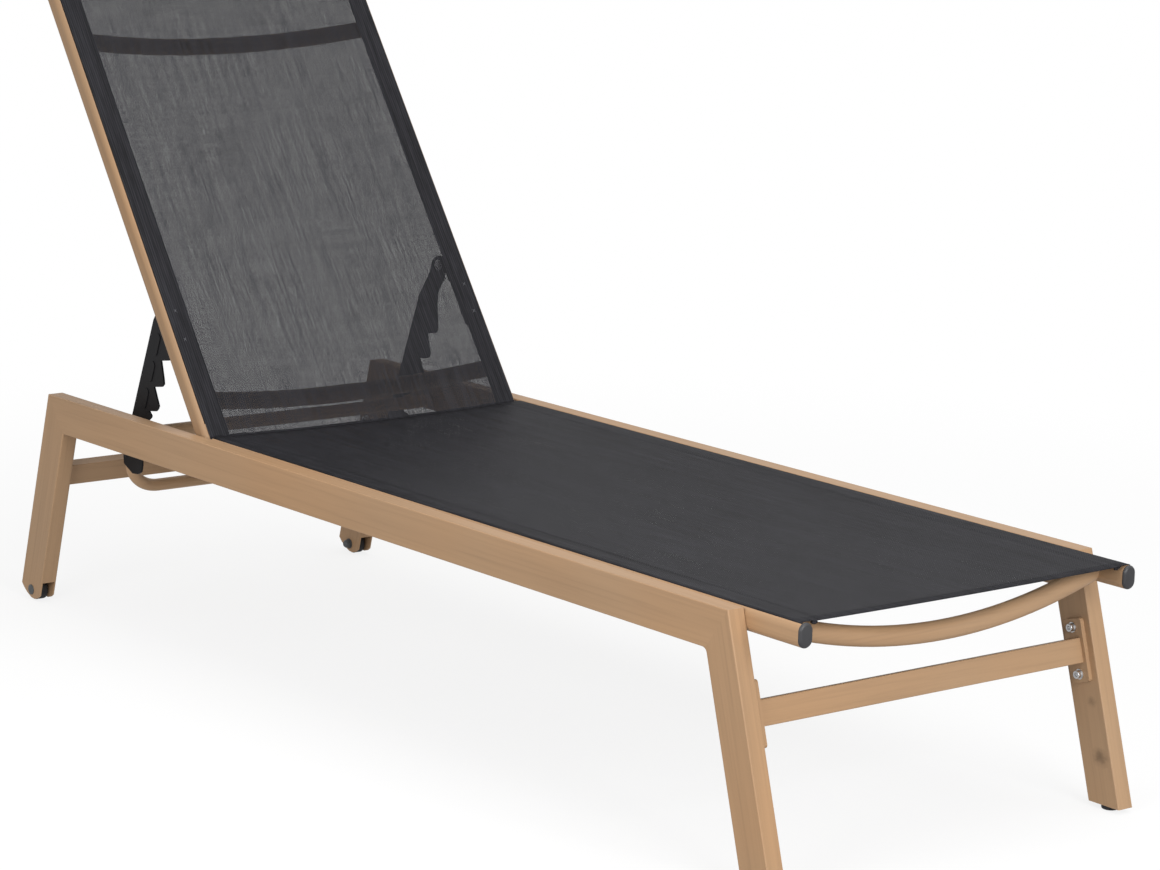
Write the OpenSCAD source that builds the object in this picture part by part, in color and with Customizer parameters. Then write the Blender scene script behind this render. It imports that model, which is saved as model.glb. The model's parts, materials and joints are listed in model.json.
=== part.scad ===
// Reclining sun lounger: a tube frame on four legs, two small rear wheels,
// a seat and a hinged backrest of stretched mesh, and a pair of notched
// racks that hold the backrest up on a cross bar.
// Units are millimetres. X runs across the lounger, the foot end is -Y, +Z is up.
// The origin is on the ground under the middle of the whole lounger.

/* [Frame] */
// Height of the top of the side rails above the ground
rail_top = 319; // [315:1:323]
// Overall width over the two side rails
frame_w = 600; // [596:1:606]
// Length of a side rail along its top edge
rail_len = 1528; // [1500:1:1560]
// Width of the rail and leg tube, across the lounger
tube_w = 25; // [24:0.5:26]
// Depth of the rail tube
rail_h = 52.5; // [50:0.5:55]
// Depth of the front leg tube
tube_h = 50; // [48:1:52]
// Depth of the rear leg tube
rear_h = 54; // [50:1:56]
// Wall thickness of the rail and leg tube
wall = 2.5; // [2:0.25:3]
// Corner radius of the rail and leg tube
tube_r = 1.5; // [1.25:0.25:3]
// Lean of the rear legs, from upright
rear_lean = 14.25; // [12:0.05:15]
// Lean of the front legs, from upright
front_lean = 16.2; // [14:0.1:18]
// Height of the bar that joins the front legs
front_bar_z = 193.3; // [185:0.1:200]
// Height of the bar that joins the rear legs
rear_bar_z = 197.3; // [185:0.1:200]
// How far forward the left end of the front bar is bolted
front_skew = 7.5; // [0:0.5:8]

/* [Wheels and feet] */
// Radius of the rear wheels
wheel_r = 15.5; // [14:0.5:17]
// Width of a wheel's tread
wheel_w = 15; // [12:0.5:17]
// Distance of the wheel axle behind the rear end of the rails
axle_d = 47; // [45:1:50]
// Height of the round front foot pads
pad_h = 6; // [4:1:9]

/* [Seat] */
// Width of the oval tubes that carry the mesh
sling_w = 20; // [18:1:22]
// Height of the oval tubes
sling_h = 30; // [28:1:32]
// Wall thickness of the oval tubes
sling_wall = 2; // [1.5:0.25:2.5]
// Length of the seat's oval tubes
seat_len = 1226; // [1200:2:1240]
// Radius of the curved bars under the mesh
bow_r = 12.5; // [10:0.5:13]
// How far the curved bars bow away from the mesh
bow_sag = 40; // [30:1:45]

/* [Backrest] */
// Angle of the raised backrest above the flat position
incline = 54.6; // [54:0.1:55]
// Length of the backrest's oval tubes above the hinge
back_len = 742; // [700:2:780]
// Distance of the racks' pivot from the hinge, along the backrest
pivot_s = 242; // [241:0.5:243]
// Bow of the backrest's curved bars
back_sag = 34; // [28:1:38]
// Thickness of the rack plates
rack_t = 3; // [2.5:0.25:4]
// Radius of the lifting handle's tube
handle_r = 9; // [7:0.5:9]

/* [Hidden] */
$fn = 48;
y_shift = 774.1;
rear_end = 4;                            // rear end of the rails
front_end = rear_end - rail_len;         // front end of the rails
axle_y = rear_end + axle_d;
x_out = frame_w / 2;
x_in = x_out - tube_w;
x_mid = x_out - tube_w / 2;
seat_x = x_in - sling_w / 2;             // middle of the seat's oval tubes
seat_z = rail_top - 14;                  // middle height of the oval tubes
seat_y1 = -392;                          // rear end of the seat's oval tubes
seat_y0 = seat_y1 - seat_len;            // front end
back_x = x_in - 3 - sling_w / 2;         // middle of the backrest's oval tubes
back_xi = back_x - sling_w / 2;          // their inner faces
back_xo = back_x + sling_w / 2;          // their outer faces
hinge_y = -369.4;
hinge_z = rail_top - 13;
bar_y = -155;                            // cross bar that holds the racks
bar_r = 10;
bar_z = hinge_z - sling_h / 2 - bar_r;
pin_r = 5;
rack_x = 233;                            // inner face of the rack plates
rear_w = rear_h / cos(rear_lean);        // width of a leg along Y
front_w = tube_h / cos(front_lean);
tan_c = [0.69, 0.55, 0.43];
tan_dark = [0.60, 0.48, 0.37];
black_c = [0.10, 0.10, 0.11];
mesh_c = [0.20, 0.20, 0.21];
steel_c = [0.78, 0.78, 0.79];
grey_c = [0.36, 0.36, 0.38];

// ---- helpers ----

// The lounger is laid out from just inside the rails' rear end, then centred on the origin.
module place() translate([0, y_shift, 0]) children();
// side = 1 is the right-hand (+X) side, -1 the left-hand (-X) side
module on_side(side) { if (side < 0) mirror([1, 0, 0]) children(); else children(); }
module both() { children(); mirror([1, 0, 0]) children(); }
// Extrudes a Y-Z outline from x0 to x1
module ex(x0, x1) translate([x0, 0, 0]) rotate([90, 0, 90]) linear_extrude(x1 - x0) children();
// Round bar along X
module rod(x0, x1, r) translate([x0, 0, 0]) rotate([0, 90, 0]) cylinder(r = r, h = x1 - x0);
module rrect(w, h, r) {
    square([w - 2 * r, h], center = true);
    square([w, h - 2 * r], center = true);
    for (i = [-1, 1], j = [-1, 1]) translate([i * (w / 2 - r), j * (h / 2 - r)]) circle(r);
}
module oval(w, h) {
    square([w, h - w], center = true);
    for (j = [-1, 1]) translate([0, j * (h - w) / 2]) circle(w / 2);
}
// Y of a leg's centre line at height z
function rear_c(z) = rear_end - rear_w / 2 + tan(rear_lean) * (rail_top - z);
function front_c(z) = front_end + front_w / 2 - tan(front_lean) * (rail_top - z);
// Frames: origin on a leg's centre line at height z, local z up along the leg
module rear_frame(z) translate([0, rear_c(z), z]) rotate([rear_lean, 0, 0]) children();
module front_frame(z) translate([0, front_c(z), z]) rotate([-front_lean, 0, 0]) children();
// Frame of the backrest: local y runs up the backrest from the hinge, local z towards the user
module back_frame() place() translate([0, hinge_y, hinge_z]) rotate([incline, 0, 0]) children();
// Frame on the racks' pivot axis, upright
pivot_y = hinge_y + pivot_s * cos(incline);
pivot_z = hinge_z + pivot_s * sin(incline);
module pivot_frame() place() translate([0, pivot_y, pivot_z]) children();

// ---- side rails ----

module rail(side) place() color(tan_c) on_side(side) difference() {
    intersection() {
        translate([x_mid, rear_end + 10, rail_top - rail_h / 2]) rotate([90, 0, 0])
            linear_extrude(rail_len + 20) difference() {
                rrect(tube_w, rail_h, tube_r);
                rrect(tube_w - 2 * wall, rail_h - 2 * wall, 1);
            }
        ex(x_in - 5, x_out + 5) polygon([
            [rear_end, rail_top], [front_end, rail_top],
            [front_end + front_w - tan(front_lean) * rail_h, rail_top - rail_h],
            [rear_end - rear_w + tan(rear_lean) * rail_h, rail_top - rail_h]]);
    }
    // hole for the hinge pin in the inner wall
    translate([0, hinge_y, hinge_z]) rod(x_in - 1, x_in + wall + 1, pin_r);
}
module rail_left() rail(-1);
module rail_right() rail(1);

// ---- legs ----

module leg_tube(w, h) linear_extrude(500, center = true) difference() {
    rrect(w, h, tube_r);
    rrect(w - 2 * wall, h - 2 * wall, 1);
}
module leg_bolt_holes() for (j = [-1, 1]) translate([0, 0, j * 29.5]) rod(x_in - 1, x_in + wall + 1, 3.1);

// The foot of a rear leg is a fork: two ears with the wheel between them
module rear_leg(side) place() color(tan_c) on_side(side) difference() {
    intersection() {
        rear_frame(200) translate([x_mid, 0, 0]) leg_tube(tube_w, rear_h);
        ex(x_in - 5, x_out + 5) polygon([
            [rear_end, rail_top], [rear_end - rear_w + tan(rear_lean) * rail_h, rail_top - rail_h],
            [rear_c(21) - rear_w / 2 - 2, 21], [22, 14.5], [27, 9.8], [34, 5], [42, 2.8],
            [51, 3.6], [64, 9.5], [73, 16], [79, 22]]);
    }
    ex(x_in + wall, x_out - wall) polygon([[0, -5], [90, -5], [90, 30], [0, 30]]);
    translate([0, axle_y, wheel_r]) rod(x_in - 1, x_out + 1, 4);
    rear_frame(rear_bar_z) leg_bolt_holes();
}
module rear_leg_left() rear_leg(-1);
module rear_leg_right() rear_leg(1);

module front_leg(side) place() color(tan_c) on_side(side) difference() {
    intersection() {
        front_frame(160) translate([x_mid, 0, 0]) leg_tube(tube_w, tube_h);
        ex(x_in - 5, x_out + 5) polygon([
            [front_end, rail_top],
            [front_end + front_w - tan(front_lean) * rail_h, rail_top - rail_h],
            [front_c(pad_h) + front_w / 2 + 5, pad_h], [front_c(pad_h) - front_w / 2 - 5, pad_h],
            [front_end - front_w, rail_top - 40]]);
    }
    front_frame(front_bar_z) translate([0, side < 0 ? -front_skew : 0, 0]) leg_bolt_holes();
}
module front_leg_left() front_leg(-1);
module front_leg_right() front_leg(1);

pad_r = 11.3;
// Round foot pads, each with a plug that fills the end of the leg tube
module foot_pads() place() color(black_c) both() union() {
    translate([x_mid, front_c(pad_h), 0]) rotate_extrude() {
        square([pad_r - 2.5, pad_h]);
        translate([0, 2.5]) square([pad_r, pad_h - 2.5]);
        translate([pad_r - 2.5, 2.5]) circle(2.5);
    }
    intersection() {
        front_frame(pad_h) translate([x_mid, 0, 0]) linear_extrude(100, center = true)
            rrect(tube_w - 2 * wall - 0.4, tube_h - 2 * wall - 0.4, 0.8);
        ex(x_in, x_out) polygon([
            [front_c(pad_h) + front_w, pad_h - 0.5], [front_c(pad_h) - front_w, pad_h - 0.5],
            [front_c(pad_h) - front_w, pad_h + 18], [front_c(pad_h) + front_w, pad_h + 18]]);
    }
}

// ---- bars between the legs ----

plate_t = 6;
washer_t = 1.2;
module bar_section() difference() {
    rrect(20, 31.4, 1.5);
    rrect(16, 27.4, 1);
}
// The front bar runs from the left plate, set forward by front_skew, to the right one
module leg_crossbar_front() place() color(tan_c) front_frame(front_bar_z) intersection() {
    translate([0, -front_skew / 2, 0]) rotate([0, 0, atan(front_skew / (2 * (x_in - plate_t)))])
        ex(-x_in - 5, x_in + 5) bar_section();
    ex(-x_in + plate_t, x_in - plate_t) square(80, center = true);
}
module leg_crossbar_rear() place() color(tan_dark) rear_frame(rear_bar_z)
    ex(-x_in + plate_t, x_in - plate_t) bar_section();

// The four places where a bar meets a leg, seen from the right-hand side
module at_plates() place() {
    front_frame(front_bar_z) {
        children();
        translate([0, -front_skew, 0]) mirror([1, 0, 0]) children();
    }
    rear_frame(rear_bar_z) both() children();
}
module crossbar_end_plates() color(tan_c) at_plates() difference() {
    ex(x_in - plate_t, x_in) rrect(30, 80, 4);
    for (j = [-1, 1]) translate([0, 0, j * 29.5]) rod(x_in - plate_t - 1, x_in + 1, 3.1);
}
// Round socket-head bolts
module crossbar_bolts() color(steel_c) at_plates() for (j = [-1, 1]) translate([0, 0, j * 29.5]) difference() {
    rotate([0, 90, 0]) rotate_extrude() {
        translate([0, x_in - plate_t - washer_t - 5.5]) square([4.6, 5.5]);
        translate([0, x_in - plate_t - washer_t - 4.9]) square([5.2, 4.9]);
        translate([4.6, x_in - plate_t - washer_t - 4.9]) circle(0.6);
        translate([0, x_in - plate_t - washer_t - 1]) square([3, plate_t + wall + washer_t + 9]);
    }
    translate([x_in - plate_t - washer_t - 6, 0, 0]) rotate([0, 90, 0]) cylinder(r = 2.9, h = 3.5, $fn = 6);
}
module crossbar_washers() color(steel_c) at_plates() for (j = [-1, 1]) translate([0, 0, j * 29.5]) difference() {
    rod(x_in - plate_t - washer_t, x_in - plate_t, 6.6);
    rod(x_in - plate_t - 2, x_in, 3.1);
}
module crossbar_nuts() color(steel_c) at_plates() for (j = [-1, 1]) translate([0, 0, j * 29.5]) difference() {
    translate([x_in + wall, 0, 0]) rotate([0, 90, 0]) cylinder(r = 5.8, h = 5, $fn = 6);
    rod(x_in, x_in + wall + 6, 3.05);
}

// ---- oval tubes that hold the mesh ----

slot_a = 22;     // the mesh enters the tube this far round from its top
slot_w = 2.4;
rod_r = 2.5;     // the rod inside the mesh's hem
rod_o = sling_w / 2 - sling_wall - rod_r - 0.2;
// Section of the tube on the +X side: x across, y towards the mesh
module sling_section() difference() {
    oval(sling_w, sling_h);
    oval(sling_w - 2 * sling_wall, sling_h - 2 * sling_wall);
    translate([0, (sling_h - sling_w) / 2]) rotate(-slot_a) translate([-slot_w / 2, 3]) square([slot_w, sling_w]);
}
module sling_rod_section() translate([0, (sling_h - sling_w) / 2]) rotate(-slot_a) translate([0, rod_o]) circle(rod_r);

module seat_tube(side) place() color(tan_c) on_side(side)
    translate([seat_x, seat_y1, seat_z]) rotate([90, 0, 0]) linear_extrude(seat_len) sling_section();
module seat_tube_left() seat_tube(-1);
module seat_tube_right() seat_tube(1);

// Rounded plastic cap with a plug that goes into the tube, facing +Z
module cap() {
    hull() {
        linear_extrude(1.6) oval(sling_w, sling_h, $fn = 32);
        linear_extrude(3) oval(sling_w - 1.6, sling_h - 1.6, $fn = 32);
        linear_extrude(4) oval(sling_w - 5, sling_h - 5, $fn = 32);
    }
    translate([0, 0, -10]) linear_extrude(10.5) difference() {
        oval(sling_w - 2 * sling_wall - 0.2, sling_h - 2 * sling_wall - 0.2);
        // clear of the rod in the mesh's hem
        translate([0, (sling_h - sling_w) / 2]) rotate(-slot_a) translate([-rod_r - 1, rod_o - rod_r - 1]) square([2 * rod_r + 2, 12]);
    }
}
module seat_tube_caps() place() color(black_c) both() {
    translate([seat_x, seat_y0, seat_z]) rotate([90, 0, 0]) cap();
    translate([seat_x, seat_y1, seat_z]) mirror([0, 1, 0]) rotate([90, 0, 0]) cap();
}

// Curved bar: ends at x = +-half at z = 0, middle at z = -sag
module bow(half, sag, r, t) {
    R = (half * half + sag * sag) / (2 * sag);
    a = asin((half + 6) / R);
    translate([0, 0, R - sag]) rotate([90, 0, 0]) rotate([0, 0, -90 - a])
        rotate_extrude(angle = 2 * a, $fn = 96) translate([R, 0]) difference() { circle(r); circle(r - t); }
}
// A curved bar with its ends coped to the oval tubes
module coped_bow(half, sag, drop) difference() {
    translate([0, 0, -drop]) bow(half, sag, bow_r, 2);
    both() translate([half + sling_w / 2, 40, 0]) rotate([90, 0, 0]) linear_extrude(80) oval(sling_w, sling_h);
}
module seat_bow(y) place() color(tan_c) translate([0, y, seat_z]) coped_bow(seat_x - sling_w / 2, bow_sag, 1);
module seat_crossbar_front() seat_bow(-1567);
module seat_crossbar_middle() seat_bow(-1000);
module seat_crossbar_rear() seat_bow(-430);

// Straight bar across the rails: the racks' notches rest on it
module support_bar() place() color(tan_c) translate([0, bar_y, bar_z]) difference() {
    rod(-x_in, x_in, bar_r);
    rod(-x_in - 1, x_in + 1, bar_r - 2);
}

// ---- mesh, as plain stretched panels ----

module seat_fabric() place() color(mesh_c)
    translate([-270, seat_y0 + 2, seat_z + sling_h / 2 + 0.3]) cube([540, seat_len - 2, 2]);
module seat_sling_rods() place() color(black_c) both()
    translate([seat_x, seat_y1 - 14, seat_z]) rotate([90, 0, 0]) linear_extrude(seat_len - 28) sling_rod_section();
module backrest_fabric() back_frame() color(mesh_c)
    translate([-270, 2, sling_h / 2 + 0.3]) cube([540, back_len - 4, 2]);
module backrest_sling_rods() back_frame() color(black_c) both()
    translate([back_x, back_len - 14, 0]) rotate([90, 0, 0]) linear_extrude(back_len - 44) sling_rod_section();

// ---- backrest hinge ----

module at_hinge() place() translate([0, hinge_y, hinge_z]) children();
// Bolt put in from the inner side: head, shank through the tube, thread in the rail
module hinge_pins() color(steel_c) at_hinge() both() union() {
    rod(back_xi - 2, x_in + 10, pin_r);
    intersection() {
        rod(back_xi - 7, back_xi - 2, 9);
        translate([back_xi + 7, 0, 0]) sphere(r = 15);
    }
}
// One washer under the bolt's head, one between the tube and the rail
module hinge_washers() color(black_c) at_hinge() both() {
    difference() { rod(back_xi - 2, back_xi - 0.3, 10); rod(back_xi - 3, back_xi, pin_r + 0.05); }
    difference() { rod(back_xo + 0.3, x_in, 11); rod(back_xo, x_in + 1, pin_r + 0.05); }
}
module hinge_nuts() color(steel_c) at_hinge() both() difference() {
    translate([x_in + wall, 0, 0]) rotate([0, 90, 0]) cylinder(r = 9, h = 7, $fn = 6);
    rod(x_in, x_in + wall + 8, pin_r);
}
module hinge_bushes() back_frame() color(black_c) both() difference() {
    rod(back_xi, back_xo, 8);
    rod(back_xi - 1, back_xo + 1, pin_r + 0.05);
}

// ---- backrest frame ----

module backrest_tube(side) back_frame() color(tan_c) on_side(side) difference() {
    intersection() {
        translate([back_x, back_len, 0]) rotate([90, 0, 0]) linear_extrude(back_len + sling_h) oval(sling_w, sling_h);
        ex(back_xi - 2, back_xo + 2) {
            circle(sling_h / 2);
            translate([0, -sling_h / 2]) square([back_len, sling_h]);
        }
    }
    // hollow above the solid end that holds the hinge bush
    translate([back_x, back_len + 1, 0]) rotate([90, 0, 0]) linear_extrude(back_len - 24)
        oval(sling_w - 2 * sling_wall, sling_h - 2 * sling_wall);
    // slot for the mesh
    translate([back_x, back_len + 1, (sling_h - sling_w) / 2]) rotate([90, 0, 0]) linear_extrude(back_len - 24)
        rotate(-slot_a) translate([-slot_w / 2, 3]) square([slot_w, sling_w]);
    rod(back_xi - 1, back_xo + 1, 8);
    // screws and pivot bolt of the rack bracket
    for (s = [160, 205]) translate([0, s, 0]) rod(back_xi - 1, back_xi + sling_wall + 1, 2.5);
    translate([0, pivot_s, 0]) rod(back_xi - 1, back_xi + sling_wall + 1, 3.5);
}
module backrest_tube_left() backrest_tube(-1);
module backrest_tube_right() backrest_tube(1);

module backrest_tube_caps() back_frame() color(black_c) both()
    translate([back_x, back_len, 0]) mirror([0, 1, 0]) rotate([90, 0, 0]) cap();

module back_bow(s) back_frame() color(tan_c) translate([0, s, 0]) coped_bow(back_xi, back_sag, 1);
module backrest_crossbar_lower() back_bow(68);
module backrest_crossbar_upper() back_bow(650);

// ---- rack brackets ----

brk_t = 2.5;
module rack_bracket(side) back_frame() color(black_c) on_side(side) difference() {
    ex(back_xi - brk_t, back_xi) {
        translate([150, -10]) square([80, 20]);
        translate([150, 0]) circle(10);
        translate([pivot_s, 0]) circle(14);
        polygon([[215, -10], [pivot_s, -14], [pivot_s, 14], [215, 10]]);
    }
    for (s = [160, 205]) translate([0, s, 0]) rod(back_xi - brk_t - 1, back_xi + 1, 2.5);
    translate([0, pivot_s, 0]) rod(back_xi - brk_t - 1, back_xi + 1, 4);
}
module rack_bracket_left() rack_bracket(-1);
module rack_bracket_right() rack_bracket(1);

module bracket_screws() back_frame() color(steel_c) both() for (s = [160, 205]) translate([0, s, 0]) union() {
    rod(back_xi - brk_t - 0.5, back_xi + sling_wall + 4, 2.45);
    intersection() {
        rod(back_xi - brk_t - 4, back_xi - brk_t, 4.6);
        translate([back_xi - brk_t + 3.2, 0, 0]) sphere(r = 5.6);
    }
}

// Shoulder bolt: head, shoulder through rack and spacer, thread in the tube
module rack_pivot_bolts() pivot_frame() color(steel_c) both() union() {
    rod(rack_x - 0.3, back_xi, 3.98);
    rod(back_xi - 0.5, back_xi + sling_wall + 6, 3.45);
    intersection() {
        rod(rack_x - 5, rack_x - 0.3, 8);
        translate([rack_x + 6, 0, 0]) sphere(r = 11.4);
    }
}
module rack_spacers() pivot_frame() color(black_c) both() difference() {
    rod(rack_x + rack_t + 0.3, back_xi - brk_t, 8);
    rod(rack_x, back_xi, 4.04);
}

// ---- racks and lifting handle ----

// Outline of a rack, measured from its pivot: a plate with a foot below and
// hooked teeth towards the foot end of the lounger
RACK = [[17, 6], [22, -12], [31, -26], [48.5, -51.4], [103.6, -198], [127.5, -262],
    [126, -275], [102, -286], [88, -284.5], [79, -280], [76.5, -270], [77, -250], [73, -244],
    [75, -239], [86, -237], [86, -211.5], [76, -210.4], [64, -203], [54, -195.6], [52.5, -192.5],
    [59, -186.5], [40, -183.6], [35.5, -179.6], [33, -175], [46, -149], [25, -145.5], [20, -141],
    [21, -134], [28, -108], [7, -104.5], [2, -99], [3, -80], [5, -60], [3, -40], [-11, -20], [-15, 0]];
// Raised ribs pressed into the plate beside each tooth: position and length
RIBS = [[66, -160, 20], [50, -118, 20], [36, -76, 22]];
module rack(side) pivot_frame() color(black_c) on_side(side) difference() {
    union() {
        ex(rack_x, rack_x + rack_t) { polygon(RACK); circle(14); }
        for (b = RIBS) translate([0, b[0], b[1]]) rotate([20, 0, 0]) ex(rack_x + rack_t - 0.5, rack_x + rack_t + 1) {
            circle(6.5);
            translate([-6.5, -b[2]]) square([13, b[2]]);
            translate([0, -b[2]]) circle(6.5);
        }
    }
    rod(rack_x - 1, rack_x + rack_t + 2, 4.05);
    translate([0, handle_y + rivet_dy - pivot_y, handle_z + rivet_dz - pivot_z]) rod(rack_x - 1, rack_x + rack_t + 1, 2.6);
}
module rack_left() rack(-1);
module rack_right() rack(1);

handle_y = -88;
handle_z = rail_top - 133;
handle_lean = 20;
handle_leg = 68;
handle_x = rack_x - handle_r;            // middle of the handle's legs
bend_r = 56;
rivet_s = 60;                            // the rivets sit this far up the legs
rivet_dy = -sin(handle_lean) * rivet_s;
rivet_dz = cos(handle_lean) * rivet_s;
module ring(r) difference() { circle(r); circle(r - 1.5); }
// U-shaped tube: a straight run, two bends and two short legs on the racks' inner faces
module prop_handle() place() color(tan_dark) translate([0, handle_y, handle_z]) rotate([handle_lean, 0, 0]) difference() {
    union() {
        translate([-handle_x + bend_r, 0, 0]) rotate([0, 90, 0]) linear_extrude(2 * (handle_x - bend_r)) ring(handle_r);
        both() translate([handle_x - bend_r, 0, bend_r]) rotate([90, 0, 0]) rotate([0, 0, -90])
            rotate_extrude(angle = 90) translate([bend_r, 0]) ring(handle_r);
        both() translate([handle_x, 0, bend_r]) linear_extrude(handle_leg - bend_r) ring(handle_r);
    }
    both() translate([0, 0, rivet_s]) rod(handle_x, rack_x + 1, 2.6);
}
module handle_rivets() place() color(steel_c) both() translate([0, handle_y + rivet_dy, handle_z + rivet_dz])
    rotate([0, 90, 0]) rotate_extrude() {
        translate([0, handle_x + 1]) square([2.5, rack_x + rack_t - handle_x]);
        intersection() {
            translate([0, rack_x + rack_t]) square([4.6, 4]);
            translate([0, rack_x + rack_t - 3.4]) circle(5.6);
        }
    }

// ---- wheels ----

module at_axle() place() translate([0, axle_y, wheel_r]) children();
module wheel(side) color(black_c) at_axle() on_side(side) translate([x_mid, 0, 0]) rotate([0, 90, 0]) difference() {
    rotate_extrude() {
        translate([0, -wheel_w / 2]) square([wheel_r - 2, wheel_w]);
        translate([0, -wheel_w / 2 + 2]) square([wheel_r, wheel_w - 4]);
        for (j = [-1, 1]) translate([wheel_r - 2, j * (wheel_w / 2 - 2)]) circle(2);
        translate([0, -(tube_w - 2 * wall) / 2 + 0.4]) square([7, tube_w - 2 * wall - 0.8]);
    }
    cylinder(r = 4, h = 60, center = true);
}
module wheel_left() wheel(-1);
module wheel_right() wheel(1);

// Axle with a low round head on the outer side
module wheel_axles() color(grey_c) at_axle() both() rotate([0, 90, 0]) rotate_extrude() {
    translate([0, x_in - 5]) square([3.95, x_out - x_in + 6]);
    intersection() {
        translate([0, x_out]) square([7.5, 4]);
        translate([0, x_out - 9.5]) circle(13);
    }
}
// Domed cap on the inner end of each axle
module axle_caps() color(grey_c) at_axle() both() difference() {
    union() {
        rod(x_in - 1.2, x_in, 8);
        rod(x_in - 4, x_in - 1, 6.5);
        translate([x_in - 4, 0, 0]) intersection() { sphere(r = 6.5); rod(-4.8, 1, 7); }
    }
    rod(x_in - 5.2, x_in + 1, 4);
}

rail_left();
rail_right();
rear_leg_left();
rear_leg_right();
front_leg_left();
front_leg_right();
foot_pads();
leg_crossbar_front();
leg_crossbar_rear();
crossbar_end_plates();
crossbar_bolts();
crossbar_washers();
crossbar_nuts();
seat_tube_left();
seat_tube_right();
seat_tube_caps();
seat_crossbar_front();
seat_crossbar_middle();
seat_crossbar_rear();
support_bar();
seat_fabric();
seat_sling_rods();
hinge_pins();
hinge_washers();
hinge_nuts();
wheel_axles();
axle_caps();
backrest_tube_left();
backrest_tube_right();
backrest_tube_caps();
backrest_crossbar_lower();
backrest_crossbar_upper();
backrest_fabric();
backrest_sling_rods();
hinge_bushes();
rack_bracket_left();
rack_bracket_right();
bracket_screws();
rack_pivot_bolts();
rack_spacers();
rack_left();
rack_right();
prop_handle();
handle_rivets();
wheel_left();
wheel_right();
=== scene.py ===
import json
import math

import bmesh
import bpy
import numpy as np
from mathutils import Matrix, Vector


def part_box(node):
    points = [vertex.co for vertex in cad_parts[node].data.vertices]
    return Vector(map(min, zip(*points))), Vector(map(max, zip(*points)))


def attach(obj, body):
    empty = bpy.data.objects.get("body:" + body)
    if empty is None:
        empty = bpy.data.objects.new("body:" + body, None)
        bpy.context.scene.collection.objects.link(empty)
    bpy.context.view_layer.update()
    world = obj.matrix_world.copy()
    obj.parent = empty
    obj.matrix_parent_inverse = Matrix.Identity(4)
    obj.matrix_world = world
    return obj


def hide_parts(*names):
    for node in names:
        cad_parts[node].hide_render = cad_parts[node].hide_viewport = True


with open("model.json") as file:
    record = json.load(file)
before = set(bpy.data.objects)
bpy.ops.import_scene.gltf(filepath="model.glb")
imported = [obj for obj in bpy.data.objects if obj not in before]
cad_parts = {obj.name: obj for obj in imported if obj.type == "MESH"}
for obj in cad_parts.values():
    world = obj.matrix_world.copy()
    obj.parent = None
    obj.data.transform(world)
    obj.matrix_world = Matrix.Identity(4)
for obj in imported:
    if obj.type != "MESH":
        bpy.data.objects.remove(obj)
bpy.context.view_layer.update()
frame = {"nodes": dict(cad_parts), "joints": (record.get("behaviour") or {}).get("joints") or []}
nodes = frame["nodes"]
scene = bpy.context.scene
scene.view_settings.view_transform = "Standard"
scene.view_settings.look = "None"

# ------------------------------------------------------------------ places
hinge = next(j for j in frame["joints"] if j["name"] == "backrest_hinge")
H = Vector(hinge["pos_m"])
INCLINE = math.radians(54.6)
Y_SHIFT = 0.7741
UP = Vector((0, math.cos(INCLINE), math.sin(INCLINE)))       # up the backrest
OUT = Vector((0, -math.sin(INCLINE), math.cos(INCLINE)))     # towards the user


def back_point(x, s, off):
    """A point of the backrest: x across, s up from the hinge, off towards the user."""
    return Vector((x, 0, 0)) + H + UP * s + OUT * off


# ------------------------------------------------------------------ camera
def make_camera():
    yaw, pitch, roll = 0.6813, -0.17165, 0.02935
    fw = Vector((math.sin(yaw) * math.cos(pitch), math.cos(yaw) * math.cos(pitch), math.sin(pitch)))
    right = Vector((math.cos(yaw), -math.sin(yaw), 0))
    up = right.cross(fw)
    r2 = right * math.cos(roll) + up * math.sin(roll)
    u2 = -right * math.sin(roll) + up * math.cos(roll)
    cam = bpy.data.cameras.new("camera")
    cam.sensor_fit = "HORIZONTAL"
    cam.sensor_width = 36
    cam.lens = 3686.0 / 1160 * 36
    cam.shift_x = -(604.27 - 580) / 1160
    cam.shift_y = (340.57 - 435) / 1160
    cam.clip_start, cam.clip_end = 0.1, 100
    o = bpy.data.objects.new("camera", cam)
    scene.collection.objects.link(o)
    m = Matrix((r2, u2, -fw)).transposed().to_4x4()
    m.translation = Vector((-3.0081, -4.6249 + Y_SHIFT, 1.3388 + 0.003))
    o.matrix_world = m
    scene.camera = o


make_camera()


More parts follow.
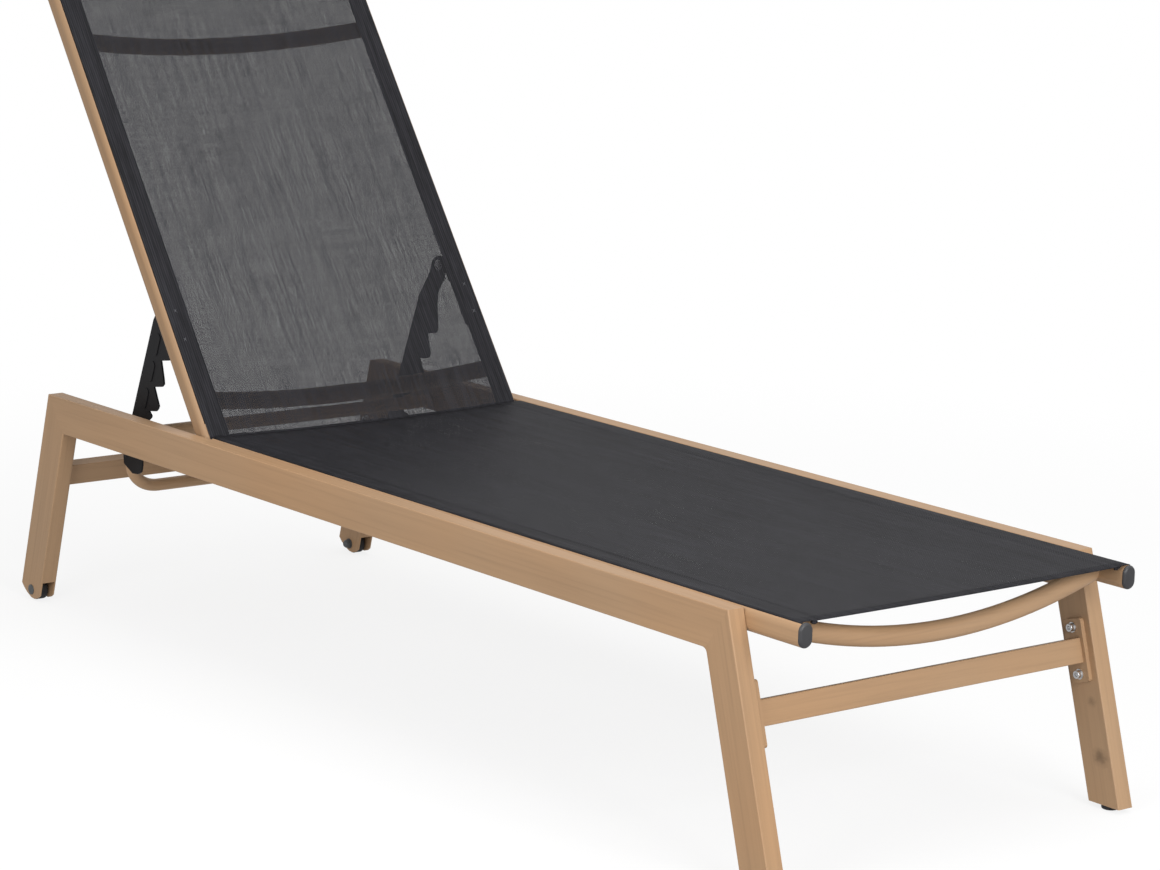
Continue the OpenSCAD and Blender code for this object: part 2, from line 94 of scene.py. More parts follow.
# ------------------------------------------------------------------ node helpers
class Mat:
    """A material and short ways to add nodes to it."""

    def __init__(self, name):
        self.m = bpy.data.materials.new(name)
        self.m.use_nodes = True
        self.t = self.m.node_tree
        self.b = self.t.nodes["Principled BSDF"]

    def n(self, kind, **values):
        node = self.t.nodes.new(kind)
        for k, v in values.items():
            if hasattr(node, k):
                setattr(node, k, v)
            else:
                node.inputs[k].default_value = v
        return node

    def link(self, a, b):
        self.t.links.new(a, b)

    def put(self, node, socket, value):
        if isinstance(value, bpy.types.NodeSocket):
            self.link(value, node.inputs[socket])
        else:
            node.inputs[socket].default_value = value

    def math(self, op, a, b=None, c=None, clamp=False):
        node = self.t.nodes.new("ShaderNodeMath")
        node.operation = op
        node.use_clamp = clamp
        for i, v in enumerate((a, b, c)):
            if v is not None:
                self.put(node, i, v)
        return node.outputs[0]

    def mix(self, fac, a, b, blend="MIX"):
        node = self.t.nodes.new("ShaderNodeMix")
        node.data_type = "RGBA"
        node.blend_type = blend
        self.put(node, 0, fac)
        self.put(node, 6, a)
        self.put(node, 7, b)
        return node.outputs[2]

    def ramp(self, value, stops):
        node = self.t.nodes.new("ShaderNodeValToRGB")
        e = node.color_ramp.elements
        while len(e) > 1:
            e.remove(e[0])
        e[0].position, e[0].color = stops[0][0], grey(stops[0][1])
        for p, c in stops[1:]:
            x = e.new(p)
            x.color = grey(c)
        self.link(value, node.inputs[0])
        return node.outputs[0]

    def coords(self, rotation=(0, 0, 0), scale=(1, 1, 1), location=(0, 0, 0)):
        tc = self.t.nodes.new("ShaderNodeTexCoord")
        first = self.t.nodes.new("ShaderNodeMapping")
        first.inputs["Rotation"].default_value = rotation
        self.link(tc.outputs["Object"], first.inputs["Vector"])
        second = self.t.nodes.new("ShaderNodeMapping")
        second.inputs["Scale"].default_value = scale
        second.inputs["Location"].default_value = location
        self.link(first.outputs[0], second.inputs["Vector"])
        return second.outputs[0]

    def noise(self, vector, scale=1.0, detail=3.0, rough=0.5, distortion=0.0):
        node = self.t.nodes.new("ShaderNodeTexNoise")
        self.link(vector, node.inputs["Vector"])
        node.inputs["Scale"].default_value = scale
        node.inputs["Detail"].default_value = detail
        node.inputs["Roughness"].default_value = rough
        node.inputs["Distortion"].default_value = distortion
        return node.outputs[0]

    def bump(self, height, strength, distance):
        node = self.t.nodes.new("ShaderNodeBump")
        node.inputs["Strength"].default_value = strength
        node.inputs["Distance"].default_value = distance
        self.link(height, node.inputs["Height"])
        self.link(node.outputs[0], self.b.inputs["Normal"])
        return node


def grey(c):
    return (c, c, c, 1) if isinstance(c, (int, float)) else (*c, 1)


def lin(r, g, b):
    def f(c):
        c /= 255
        return c / 12.92 if c <= 0.04045 else ((c + 0.055) / 1.055) ** 2.4
    return (f(r), f(g), f(b))


# ------------------------------------------------------------------ materials
WOOD = (0.425, 0.264, 0.148)


def wood(name, rotation, tone=1.0, seed=0.0, dark_spots=()):
    """Light oak film on metal tube. rotation turns the row frame so that its x lies along the tube."""
    k = Mat(name)
    # long soft streaks
    v1 = k.coords(rotation, (1.1, 22, 22), (seed, seed * 1.7, seed * 0.6))
    broad = k.noise(v1, 1.0, 3, 0.55, 0.4)
    # fine grain lines
    v2 = k.coords(rotation, (5, 240, 240), (seed * 2, seed, seed * 3))
    fine = k.noise(v2, 1.0, 4, 0.6, 0.2)
    # slow change of tone from place to place
    v3 = k.coords((0, 0, 0), (3, 3, 3))
    slow = k.noise(v3, 1.0, 2, 0.5)
    base = k.ramp(broad, [(0.28, tuple(c * 0.92 * tone for c in WOOD)), (0.5, tuple(c * tone for c in WOOD)),
                          (0.72, tuple(c * 1.05 * tone for c in WOOD))])
    shade = k.ramp(fine, [(0.25, 0.84), (0.5, 0.99), (0.75, 1.05)])
    c = k.mix(0.75, base, shade, "MULTIPLY")
    warm = k.ramp(slow, [(0.3, (1.0, 0.96, 0.90)), (0.7, (0.97, 1.0, 1.03))])
    c = k.mix(1.0, c, warm, "MULTIPLY")
    # dark spots: each mixes a soft round patch of darker film in at a given place, size and strength
    for place, size, dark in dark_spots:
        tc = k.t.nodes.new("ShaderNodeTexCoord")
        sub = k.t.nodes.new("ShaderNodeVectorMath")
        sub.operation = "SUBTRACT"
        k.link(tc.outputs["Object"], sub.inputs[0])
        sub.inputs[1].default_value = place
        mp = k.t.nodes.new("ShaderNodeMapping")
        mp.inputs["Rotation"].default_value = rotation
        mp.inputs["Scale"].default_value = (0.8 / size, 1.35 / size, 1.35 / size)
        k.link(sub.outputs[0], mp.inputs["Vector"])
        warp = k.noise(mp.outputs[0], 1.6, 2, 0.5)
        ln = k.t.nodes.new("ShaderNodeVectorMath")
        ln.operation = "LENGTH"
        k.link(mp.outputs[0], ln.inputs[0])
        d = k.math("ADD", ln.outputs["Value"], k.math("MULTIPLY", k.math("SUBTRACT", warp, 0.5), 0.9))
        spot = k.ramp(d, [(0.0, 1.0), (0.35, 0.75), (0.7, 0.25), (1.0, 0.0)])
        c = k.mix(k.math("MULTIPLY", spot, dark), c, grey(tuple(x * 0.42 for x in WOOD)))
    k.link(c, k.b.inputs["Base Color"])
    rough = k.ramp(fine, [(0.2, 0.50), (0.8, 0.40)])
    k.link(rough, k.b.inputs["Roughness"])
    k.b.inputs["Specular IOR Level"].default_value = 0.36
    k.bump(k.math("ADD", k.math("MULTIPLY", fine, 0.7), k.math("MULTIPLY", broad, 0.3)), 0.25, 0.0004)
    return k.m


def plastic(name, colour, rough=0.5, grain=0.25, scale=900, shine=0.4):
    k = Mat(name)
    k.b.inputs["Specular IOR Level"].default_value = shine
    v = k.coords()
    n = k.noise(v, scale, 2, 0.6)
    big = k.noise(v, 35, 3, 0.5)
    c = k.ramp(big, [(0.3, tuple(x * 0.85 for x in colour)), (0.7, tuple(x * 1.18 for x in colour))])
    k.link(c, k.b.inputs["Base Color"])
    k.link(k.ramp(big, [(0.3, rough - 0.06), (0.7, rough + 0.06)]), k.b.inputs["Roughness"])
    k.bump(n, grain, 0.0002)
    return k.m


def powder_coat(name, colour, rough=0.42):
    k = Mat(name)
    k.b.inputs["Specular IOR Level"].default_value = 0.22
    v = k.coords()
    n = k.noise(v, 1400, 2, 0.7)
    wear = k.noise(v, 60, 4, 0.6)
    c = k.ramp(wear, [(0.35, colour), (0.75, tuple(x * 1.35 + 0.004 for x in colour))])
    k.link(c, k.b.inputs["Base Color"])
    k.link(k.ramp(wear, [(0.3, rough), (0.7, rough + 0.12)]), k.b.inputs["Roughness"])
    k.bump(n, 0.3, 0.00015)
    return k.m


def steel(name):
    k = Mat(name)
    v = k.coords()
    n = k.noise(v, 300, 4, 0.7)
    k.link(k.ramp(n, [(0.3, (0.60, 0.60, 0.61)), (0.7, (0.80, 0.80, 0.80))]), k.b.inputs["Base Color"])
    k.b.inputs["Metallic"].default_value = 1.0
    k.link(k.ramp(n, [(0.3, 0.24), (0.7, 0.36)]), k.b.inputs["Roughness"])
    k.bump(n, 0.12, 0.0001)
    return k.m


def woven(name, rotation, colour, holes=0.42, pu=0.00165, pv=0.00145):
    """Plain weave of coated yarn, with real gaps between the yarns. x across, y along, after rotation."""
    k = Mat(name)
    v = k.coords(rotation)
    sep = k.t.nodes.new("ShaderNodeSeparateXYZ")
    k.link(v, sep.inputs[0])
    wob = k.noise(v, 260, 1, 0.5)
    u = k.math("ADD", k.math("DIVIDE", sep.outputs[0], pu), k.math("MULTIPLY", wob, 0.25))
    w = k.math("ADD", k.math("DIVIDE", sep.outputs[1], pv), k.math("MULTIPLY", wob, 0.25))
    fu, fw = k.math("FRACT", u), k.math("FRACT", w)
    # distance from the middle of each yarn, 0 at the middle and 0.5 between yarns
    du = k.math("ABSOLUTE", k.math("SUBTRACT", fu, 0.5))
    dw = k.math("ABSOLUTE", k.math("SUBTRACT", fw, 0.5))
    # some yarns are a little thicker than others, so the gaps differ in long lines
    slub = k.noise(k.coords(rotation, (420, 26, 1)), 1.0, 2, 0.6)
    streak = k.noise(k.coords(rotation, (300, 5, 1), (3, 7, 0)), 1.0, 1, 0.5)
    thick_u = k.math("ADD", k.math("MULTIPLY", slub, 0.5), k.math("MULTIPLY", streak, 0.5))
    thick_w = k.noise(k.coords(rotation, (7, 260, 1)), 1.0, 1, 0.5)
    slow = k.noise(k.coords(rotation, (9, 5, 9)), 1.0, 3, 0.5)
    # over and under: the yarns that show swap from cell to cell
    cell = k.math("MODULO", k.math("ABSOLUTE", k.math("ADD", k.math("FLOOR", u), k.math("FLOOR", w))), 2.0)
    ru = k.math("COSINE", k.math("MULTIPLY", du, math.pi))
    rw = k.math("COSINE", k.math("MULTIPLY", dw, math.pi))
    height = k.math("ADD", k.math("MULTIPLY", k.math("MAXIMUM", ru, rw), 0.6),
                    k.math("MULTIPLY", k.math("MULTIPLY", k.math("SUBTRACT", cell, 0.5), k.math("SUBTRACT", ru, rw)), 0.5))
    # lengthwise ribs a few yarns wide, and a slow change of tone
    rib = k.math("SINE", k.math("MULTIPLY", sep.outputs[0], 2 * math.pi / 0.0036))
    shade = k.math("ADD", k.math("MULTIPLY", rib, 0.13), k.math("ADD", k.math("MULTIPLY", thick_u, 1.15), k.math("SUBTRACT", k.math("MULTIPLY", slow, 0.12), 0.135)))
    base = k.ramp(shade, [(0.28, tuple(c * 0.55 for c in colour)), (0.5, colour), (0.72, tuple(c * 1.7 for c in colour))])
    k.link(base, k.b.inputs["Base Color"])
    k.b.inputs["Roughness"].default_value = 0.55
    k.b.inputs["Specular IOR Level"].default_value = 0.12
    k.bump(height, 0.5, 0.0004)
    if holes:
        gap = k.math("ADD", 0.5 - holes / 2 - 0.21, k.math("MULTIPLY", thick_u, 0.42))
        gap2 = k.math("ADD", 0.5 - holes / 2 - 0.05, k.math("MULTIPLY", thick_w, 0.10))
        hole = k.math("MULTIPLY", k.math("GREATER_THAN", du, gap), k.math("GREATER_THAN", dw, gap2))
        clear = k.t.nodes.new("ShaderNodeBsdfTransparent")
        mixer = k.t.nodes.new("ShaderNodeMixShader")
        out = k.t.nodes["Material Output"]
        k.link(hole, mixer.inputs[0])
        k.link(k.b.outputs[0], mixer.inputs[1])
        k.link(clear.outputs[0], mixer.inputs[2])
        k.link(mixer.outputs[0], out.inputs["Surface"])
    return k.m


def give(material, *names):
    for n in names:
        o = nodes[n]
        o.data.materials.clear()
        o.data.materials.append(material)


# x along the tube: turn the row frame about Z for tubes along Y, about X and Z for leaning ones
ALONG_Y = (0, 0, math.radians(-90))
FRONT_LEAN, REAR_LEAN = math.radians(16.2), math.radians(14.25)


def along(direction):
    """Euler angles of a Mapping that turns direction onto x."""
    return Vector(direction).rotation_difference(Vector((1, 0, 0))).to_euler()[:]


give(wood("film_rail_left", along((0, 1, 0)), 1.0, 0.3), "rail_left")
give(wood("film_rail_right", along((0, 1, 0)), 1.0, 4.1), "rail_right")
front_dir = (0, math.sin(FRONT_LEAN), math.cos(FRONT_LEAN))
rear_dir = (0, -math.sin(REAR_LEAN), math.cos(REAR_LEAN))
give(wood("film_front_leg_left", along(front_dir), 1.0, 2.2), "front_leg_left")
# two dark spots low on the inner face of the right front leg
give(wood("film_front_leg_right", along(front_dir), 1.0, 7.7,
          [((0.275, -0.806, 0.066), 0.020, 0.85), ((0.275, -0.786, 0.133), 0.012, 0.55)]), "front_leg_right")
give(wood("film_rear_leg_left", along(rear_dir), 1.0, 5.2), "rear_leg_left")
give(wood("film_rear_leg_right", along(rear_dir), 1.0, 9.4), "rear_leg_right")
give(wood("film_cross", (0, 0, 0), 1.0, 1.4), "leg_crossbar_front", "leg_crossbar_rear", "seat_crossbar_front",
     "seat_crossbar_middle", "seat_crossbar_rear", "support_bar")
give(wood("film_plates", along(front_dir), 0.97, 6.0), "crossbar_end_plates")
give(wood("film_seat_tubes", along((0, 1, 0)), 1.0, 3.3), "seat_tube_left", "seat_tube_right")
# painted shade: the backrest tubes and backrest crossbars use the frame's film made 0.86 and 0.80 times as light,
# standing in for the shade they sit in beside and behind the mesh
give(wood("film_back_tubes_painted_shade", along(UP), 0.86, 8.8), "backrest_tube_left", "backrest_tube_right")
give(wood("film_back_cross_painted_shade", (0, 0, 0), 0.80, 2.9), "backrest_crossbar_lower", "backrest_crossbar_upper")
# painted light: the handle uses the frame's film made 1.22 times lighter, standing in for light it misses under the
# frame
give(wood("film_handle_painted_light", (0, 0, 0), 1.22, 5.9), "prop_handle")
give(powder_coat("black_coat", (0.0065, 0.0065, 0.0078)), "rack_left", "rack_right", "rack_bracket_left", "rack_bracket_right",
     "handle_rivets")
give(steel("zinc"), "crossbar_bolts", "crossbar_washers", "crossbar_nuts", "hinge_pins", "hinge_nuts",
     "bracket_screws", "rack_pivot_bolts")
give(plastic("black_plastic", (0.016, 0.016, 0.018)), "foot_pads", "hinge_washers", "hinge_bushes", "rack_spacers",
     "seat_sling_rods", "backrest_sling_rods")
give(plastic("cap_plastic", (0.036, 0.036, 0.039), 0.42), "seat_tube_caps", "backrest_tube_caps")
give(plastic("grey_plastic", (0.085, 0.09, 0.092), 0.42), "wheel_axles", "axle_caps")
give(plastic("wheel_plastic", (0.014, 0.013, 0.014), 0.55), "wheel_left", "wheel_right")

# ------------------------------------------------------------------ mesh panels
R_TUBE = 0.010           # rounding of the oval tubes
CLOTH = 0.0009           # middle of the outer layer above the tube
THICK = 0.0003           # thickness of one layer
SLOT = math.radians(22)  # the cloth comes out of the tube this far round from its top
HEM_X = 0.233            # inner edge of the doubled cloth along each side


def new_piece(name, verts, faces, material, smooth=True):
    me = bpy.data.meshes.new(name)
    me.from_pydata([tuple(v) for v in verts], [], faces)
    me.update()
    me.materials.append(material)
    for p in me.polygons:
        p.use_smooth = smooth
    o = bpy.data.objects.new(name, me)
    scene.collection.objects.link(o)
    return o


def side_arc(x_tube, lift):
    """From inside the slot, over the round of the tube, to its top."""
    r = R_TUBE + lift
    pts = []
    for q in (0.0068, 0.0082, 0.0096):
        pts.append((x_tube + math.sin(SLOT) * q, -R_TUBE + math.cos(SLOT) * q))
    for i in range(7):
        a = SLOT * (1 - i / 6)
        pts.append((x_tube + math.sin(a) * r, -R_TUBE + math.cos(a) * r))
    return pts


def low_edge(x, x_tube, s, s0, drop):
    """The lower edge of the panel bows down between the tubes; the bow dies out above it."""
    return s - drop * max(0.0, 1 - (x / (x_tube - 0.012)) ** 4) * max(0.0, 1 - (s - s0) / 0.06) ** 2


def cloth_z(x, x_tube, sag, lift):
    return lift - sag * (1 - (x / x_tube) ** 2)


def sheet_rows(x_tube, s_values, sag_at, lift, n_flat, drop=0.0):
    """Rows of (x, s, off) across the whole panel."""
    s0, s1 = s_values[0], s_values[-1]
    rows = []
    for s in s_values:
        sag = sag_at((s - s0) / (s1 - s0))
        side = side_arc(x_tube, lift)
        row = [(-x, s, z) for x, z in side]
        for i in range(1, n_flat):
            x = -x_tube + 2 * x_tube * i / n_flat
            row.append((x, low_edge(x, x_tube, s, s0, drop), cloth_z(x, x_tube, sag, lift)))
        row += [(x, s, z) for x, z in reversed(side)]
        rows.append(row)
    return rows


def from_rows(name, place, rows, material, smooth=True):
    verts, faces = [], []
    w = len(rows[0])
    for row in rows:
        verts += [place(*p) for p in row]
    for j in range(len(rows) - 1):
        for i in range(w - 1):
            k = j * w + i
            faces.append((k, k + 1, k + 1 + w, k + w))
    return new_piece(name, verts, faces, material, smooth)


def thicken(o, t, offset=0.0):
    m = o.modifiers.new("thickness", "SOLIDIFY")
    m.thickness = t
    m.offset = offset
    return o


def spread(a, b, n):
    return [a + (b - a) * i / n for i in range(n + 1)]


def side_hem(name, place, side, x_tube, s_values, sag_at, material):
    """The doubled edge of the panel: a second layer under the first, from the slot to HEM_X."""
    s0, s1 = s_values[0], s_values[-1]
    rows = []
    for s in s_values:
        sag = sag_at((s - s0) / (s1 - s0))
        row = [(side * x, s, z) for x, z in side_arc(x_tube, CLOTH - 0.00045)]
        for x in spread(x_tube - 0.003, HEM_X + 0.0015, 8):
            row.append((side * x, s, cloth_z(x, x_tube, sag, CLOTH - 0.00045)))
        row.append((side * HEM_X, s, cloth_z(HEM_X, x_tube, sag, CLOTH - 0.0003)))
        rows.append(row if side < 0 else row[::-1])
    return thicken(from_rows(name, place, rows, material), 0.00038)


def end_hem(name, place, s_edge, inward, depth, x_tube, sag, material, drop=0.0):
    """The folded end of the panel, between the tubes: a flat fold with a round front."""
    half = x_tube - 0.0115
    outline = [(depth, -0.00022), (0.0008, -0.00022), (0.0004, 0.00005)]
    for i in range(7):
        a = math.pi / 2 + math.pi * i / 6
        outline.append((0.0002 + 0.0007 * math.cos(a), -0.00052 + 0.0007 * math.sin(a)))
    outline += [(0.002, -0.00122), (depth - 0.001, -0.00105), (depth, -0.0008)]
    xs = spread(-half, half, 60)
    verts, faces = [], []
    n = len(outline)
    for x in xs:
        z = cloth_z(x, x_tube, sag, CLOTH)
        edge = low_edge(x, x_tube, s_edge, s_edge, drop)
        verts += [place(x, edge + inward * s, z + q) for s, q in outline]
    for j in range(len(xs) - 1):
        for i in range(n):
            a, b = j * n + i, j * n + (i + 1) % n
            faces.append((a, b, b + n, a + n) if inward > 0 else (a, a + n, b + n, b))
    faces.append(tuple(range(n)) if inward < 0 else tuple(reversed(range(n))))
    last = (len(xs) - 1) * n
    faces.append(tuple(last + i for i in range(n)) if inward > 0 else tuple(last + i for i in reversed(range(n))))
    return new_piece(name, verts, faces, material)


def corner_fold(name, place, side, s_edge, inward, x_tube, material):
    """The little bundle where the side hem and the end hem meet, under the corner of the panel."""
    verts, faces = [], []
    nx, na = 8, 14
    for i in range(nx + 1):
        t = i / nx
        x = x_tube - 0.0120 - 0.0090 * t
        size = math.sin(math.pi * min(max(t, 0.10), 0.88)) ** 0.4
        for j in range(na):
            a = 2 * math.pi * j / na
            ss = 0.0022 * math.cos(a) * size * (1 + 0.12 * math.sin(3 * a + 5 * t))
            zz = 0.0023 * math.sin(a) * size * (1 + 0.15 * math.cos(2 * a + 3 * t))
            verts.append(place(side * x, s_edge + inward * (0.0026 + ss), -0.0022 - 0.0006 * t + zz))
    for i in range(nx):
        for j in range(na):
            a, b = i * na + j, i * na + (j + 1) % na
            f = (a, b, b + na, a + na)
            faces.append(f if side * inward > 0 else f[::-1])
    e = tuple(range(na))
    g = tuple(nx * na + j for j in range(na))
    faces.append(e[::-1] if side * inward > 0 else e)
    faces.append(g if side * inward > 0 else g[::-1])
    return new_piece(name, verts, faces, material)


def stitches(name, place, lines, pitch, length, material):
    """Short raised threads. lines are functions of t from 0 to 1 giving (x, s, off), with their length in metres."""
    verts, faces = [], []
    for f, total in lines:
        count = int(total / pitch)
        for c in range(count):
            t0 = (c + 0.5 - 0.5 * length / pitch) / count
            t1 = (c + 0.5 + 0.5 * length / pitch) / count
            a, b = Vector(f(t0)), Vector(f(t1))
            d = (b - a).normalized()
            side = d.cross(Vector((0, 0, 1))).normalized() * 0.00028
            up = Vector((0, 0, 0.00030))
            k = len(verts)
            ring = []
            for q in (0.25, 0.75):
                m = a.lerp(b, q)
                ring.append([m - side, m + up, m + side, m - up * 0.5])
            pts = [a - up * 0.4] + ring[0] + ring[1] + [b - up * 0.4]
            verts += [place(*p) for p in pts]
            for i in range(4):
                j = (i + 1) % 4
                faces.append((k, k + 1 + j, k + 1 + i))
                faces.append((k + 1 + i, k + 1 + j, k + 5 + j, k + 5 + i))
                faces.append((k + 9, k + 5 + i, k + 5 + j))
    o = new_piece(name, verts, faces, material)
    bm = bmesh.new()
    bm.from_mesh(o.data)
    bmesh.ops.recalc_face_normals(bm, faces=bm.faces)
    bm.to_mesh(o.data)
    bm.free()
    return o


seat_box_lo, seat_box_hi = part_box("seat_tube_left")
SEAT_TOP = seat_box_hi[2]
seat_x, back_x = 0.265, 0.262
seat_s0, seat_s1 = seat_box_lo[1] + 0.0005, seat_box_hi[1] - 0.0005
back_s0, back_s1 = 0.0012, 0.7405


def seat_place(x, s, off):
    return Vector((x, s, SEAT_TOP + off))


def back_place(x, s, off):
    return back_point(x, s, 0.015 + off)


def seat_sag(t):
    return 0.0016 + 0.0035 * math.sin(math.pi * t) ** 0.8 + 0.0030 * t ** 10


def back_sag(t):
    return 0.0016 + 0.0030 * math.sin(math.pi * t) ** 0.8


CHARCOAL = (0.0187, 0.0184, 0.0217)
BACK_TURN = (-INCLINE, 0, 0)
# painted light: the seat's weave is the backrest's charcoal made 1.10 times lighter, a lit copy of the same fabric
SEAT_LIT_TONE = tuple(c * 1.10 for c in CHARCOAL)
seat_weave = woven("seat_weave", (0, 0, 0), SEAT_LIT_TONE)
back_weave = woven("back_weave", BACK_TURN, CHARCOAL, holes=0.405)
seat_double = woven("seat_double_weave", (0, 0, 0), CHARCOAL, holes=0)
back_double = woven("back_double_weave", BACK_TURN, CHARCOAL, holes=0)
# light grey thread for painted highlights: the crosses it makes on the backrest hems stand in for glints of the bracket
# screws under them
screw_glint_thread = plastic("screw_glint_thread", (0.15, 0.15, 0.165), 0.5, 0.3, 2500, 0.3)
thread = plastic("sewing_thread", (0.013, 0.013, 0.014), 0.6, 0.3, 2500, 0.15)


def mesh_panel(prefix, body, place, x_tube, s0, s1, n_len, sag_at, weave, double, cad, low=0.016, drop=0.0, screw_glints=()):
    s_rows = spread(s0, s0 + 0.06, 12)[:-1] + spread(s0 + 0.06, s1, n_len) if drop else spread(s0, s1, n_len)
    rows = sheet_rows(x_tube, s_rows, sag_at, CLOTH, 80, drop)
    main = thicken(from_rows(prefix + "_mesh", place, rows, weave), THICK)
    extra = []
    for side, word in ((-1, "left"), (1, "right")):
        extra.append(side_hem(prefix + "_hem_" + word, place, side, x_tube, spread(s0 + 0.001, s1 - 0.001, n_len), sag_at, double))
        for s_edge, inward, end in ((s0, 1, "low"), (s1, -1, "high")):
            extra.append(corner_fold(prefix + "_fold_" + word + "_" + end, place, side, s_edge, inward, x_tube, double))
    extra.append(end_hem(prefix + "_hem_low", place, s0, 1, low, x_tube, sag_at(0), double, drop))
    extra.append(end_hem(prefix + "_hem_high", place, s1, -1, 0.016, x_tube, sag_at(1), double))

    def along_side(x):
        def f(t):
            return (x, s0 + 0.004 + (s1 - s0 - 0.008) * t, cloth_z(x, x_tube, sag_at(t), CLOTH + 0.00012))
        return f, s1 - s0 - 0.008

    def across(s, sag):
        def f(t):
            x = -0.250 + 0.5 * t
            return (x, s, cloth_z(x, x_tube, sag, CLOTH + 0.00012))
        return f, 0.5

    lines = [along_side(side * x) for side in (-1, 1) for x in (HEM_X + 0.0035, HEM_X + 0.0075)]
    lines.append(across(s1 - 0.0125, sag_at(1)))
    if low > 0.012:
        lines.append(across(s0 + 0.0125, sag_at(0)))
    extra.append(stitches(prefix + "_stitches", place, lines, 0.0042, 0.0030, thread))
    # painted highlight: light grey thread crosses on the hems, where the bracket screws under them would glint
    if screw_glints:
        crosses = []
        for x, s in screw_glints:
            for turn in (-1, 1):
                crosses.append(((lambda t, x=x, s=s, turn=turn: (
                    x + 0.0032 * (2 * t - 1), s + 0.0036 * turn * (2 * t - 1),
                    cloth_z(x, x_tube, 0.004, CLOTH + 0.0002))), 0.0062))
        extra.append(stitches(prefix + "_tacks", place, crosses, 0.0042, 0.0036, screw_glint_thread))
    for o in [main] + extra:
        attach(o, body)
    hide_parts(cad)
    return main


seat = mesh_panel("seat", "base", seat_place, seat_x, seat_s0, seat_s1, 64, seat_sag, seat_weave, seat_double,
                  "seat_fabric")
back = mesh_panel("backrest", "backrest", back_place, back_x, back_s0, back_s1, 44, back_sag, back_weave, back_double,
                  "backrest_fabric", low=0.006, drop=0.0045,
                  # painted highlight: thread crosses over the two bracket screws on each hem
                  screw_glints=[(side * 0.2532, s) for side in (-1, 1) for s in (0.1555, 0.2005)])

# ------------------------------------------------------------------ inner corners of rails and legs
RAIL_H = 0.0525
rail_lo, rail_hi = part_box("rail_left")
REAR_W, FRONT_W = 0.054 / math.cos(REAR_LEAN), 0.050 / math.cos(FRONT_LEAN)


def corner_fillet(name, side, corner, a, b, radius, material):
    """A small rounded filler in the corner between two edges that run from corner along a and b."""
    a, b = Vector(a).normalized(), Vector(b).normalized()
    half = math.acos(a.dot(b)) / 2
    mid = (a + b).normalized()
    c = Vector(corner)
    centre = c + mid * (radius / math.sin(half))
    t = radius / math.tan(half)
    deep = -mid * 0.0012
    outline = [c + deep, c + a * t + deep * 0.35]
    start, end = (c + a * t) - centre, (c + b * t) - centre
    turn = math.atan2(start.x * end.y - start.y * end.x, start.dot(end))
    for i in range(11):
        q = turn * i / 10
        outline.append(centre + Vector((start.x * math.cos(q) - start.y * math.sin(q), start.x * math.sin(q) + start.y * math.cos(q))))
    outline.append(c + b * t + deep * 0.35)
    x0, x1 = sorted((side * 0.2754, side * 0.2992))
    n = len(outline)
    verts = [Vector((x0, q.x, q.y)) for q in outline] + [Vector((x1, q.x, q.y)) for q in outline]
    faces = [tuple(range(n)), tuple(range(2 * n - 1, n - 1, -1))]
    for i in range(n):
        j = (i + 1) % n
        faces.append((i, n + i, n + j, j))
    o = new_piece(name, verts, faces, material, smooth=False)
    bm = bmesh.new()
    bm.from_mesh(o.data)
    bmesh.ops.recalc_face_normals(bm, faces=bm.faces)
    bm.to_mesh(o.data)
    bm.free()
    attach(o, "base")
    return o


for side, word in ((-1, "left"), (1, "right")):
    low = rail_hi[2] - RAIL_H
    corner_fillet("corner_rear_" + word, side, (rail_hi[1] - REAR_W + math.tan(REAR_LEAN) * RAIL_H, low),
                  (-1, 0), (math.sin(REAR_LEAN), -math.cos(REAR_LEAN)), 0.006, nodes["rear_leg_" + word].data.materials[0])
    corner_fillet("corner_front_" + word, side, (rail_lo[1] + FRONT_W - math.tan(FRONT_LEAN) * RAIL_H, low),
                  (1, 0), (-math.sin(FRONT_LEAN), -math.cos(FRONT_LEAN)), 0.008, nodes["front_leg_" + word].data.materials[0])

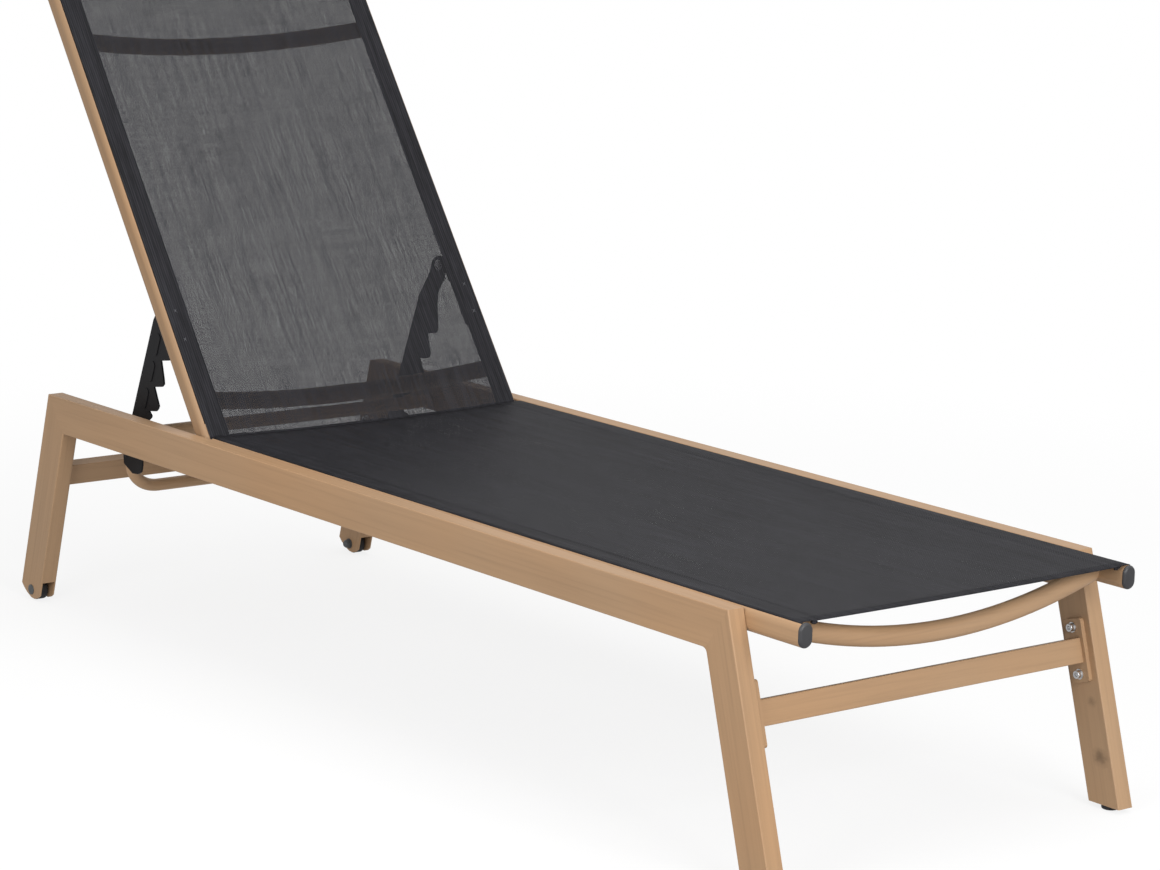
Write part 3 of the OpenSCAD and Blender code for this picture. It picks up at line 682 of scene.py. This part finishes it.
# ------------------------------------------------------------------ stage
def make_stage():
    # a round floor that fades out into the white behind it
    n, radius = 96, 9.0
    verts = [(0, 0, 0)] + [(radius * math.cos(2 * math.pi * i / n), radius * math.sin(2 * math.pi * i / n), 0) for i in range(n)]
    me = bpy.data.meshes.new("floor")
    me.from_pydata(verts, [], [(0, 1 + i, 1 + (i + 1) % n) for i in range(n)])
    floor = bpy.data.objects.new("floor", me)
    scene.collection.objects.link(floor)
    k = Mat("pale_floor")
    k.b.inputs["Base Color"].default_value = (0.94, 0.94, 0.94, 1)
    k.b.inputs["Roughness"].default_value = 0.9
    k.b.inputs["Specular IOR Level"].default_value = 0.0
    tc = k.t.nodes.new("ShaderNodeTexCoord")
    ln = k.t.nodes.new("ShaderNodeVectorMath")
    ln.operation = "LENGTH"
    k.link(tc.outputs["Object"], ln.inputs[0])
    fade = k.t.nodes.new("ShaderNodeMapRange")
    fade.interpolation_type = "SMOOTHSTEP"
    fade.inputs["From Min"].default_value = 0.9
    fade.inputs["From Max"].default_value = 2.6
    fade.inputs["To Min"].default_value = 0.83
    k.link(ln.outputs["Value"], fade.inputs["Value"])
    glow = k.t.nodes.new("ShaderNodeEmission")
    # the white floor is seen as white but throws less light up at the lounger
    seen = k.t.nodes.new("ShaderNodeLightPath")
    level = k.t.nodes.new("ShaderNodeMapRange")
    level.inputs["To Min"].default_value = 0.47
    level.inputs["To Max"].default_value = 1.0
    k.link(seen.outputs["Is Camera Ray"], level.inputs["Value"])
    k.link(level.outputs[0], glow.inputs["Strength"])
    mixer = k.t.nodes.new("ShaderNodeMixShader")
    k.link(fade.outputs[0], mixer.inputs[0])
    k.link(k.b.outputs[0], mixer.inputs[1])
    k.link(glow.outputs[0], mixer.inputs[2])
    k.link(mixer.outputs[0], k.t.nodes["Material Output"].inputs["Surface"])
    me.materials.append(k.m)

    world = bpy.data.worlds.new("studio")
    scene.world = world
    world.use_nodes = True
    t = world.node_tree
    bg = t.nodes["Background"]
    bg.inputs[0].default_value = (1, 1, 1, 1)
    # white behind the lounger and in its sheen, softer as a source of light
    path = t.nodes.new("ShaderNodeLightPath")
    m = t.nodes.new("ShaderNodeMapRange")
    t.links.new(path.outputs["Is Glossy Ray"], m.inputs["Value"])
    m.inputs["To Min"].default_value = 0.43
    m.inputs["To Max"].default_value = 0.72
    m2 = t.nodes.new("ShaderNodeMapRange")
    t.links.new(path.outputs["Is Camera Ray"], m2.inputs["Value"])
    t.links.new(m.outputs[0], m2.inputs["To Min"])
    m2.inputs["To Max"].default_value = 1.0
    t.links.new(m2.outputs[0], bg.inputs[1])

    def area(name, place, target, size, power, colour=(1, 1, 1)):
        light = bpy.data.lights.new(name, "AREA")
        light.shape = "RECTANGLE"
        light.size, light.size_y = size
        light.energy = power
        light.color = colour
        o = bpy.data.objects.new(name, light)
        scene.collection.objects.link(o)
        o.location = place
        o.rotation_mode = "QUATERNION"
        o.rotation_quaternion = (Vector(target) - Vector(place)).to_track_quat("-Z", "Y")

    area("left", (-2.8, -0.95, 1.25), (-0.2, -0.6, 0.25), (1.6, 1.4), 40)
    area("front", (-0.4, -4.2, 1.7), (0, -0.5, 0.25), (2.0, 1.7), 106)
    area("top", (0.2, -0.6, 4.0), (0, 0, 0.3), (3.2, 3.2), 75)


make_stage()
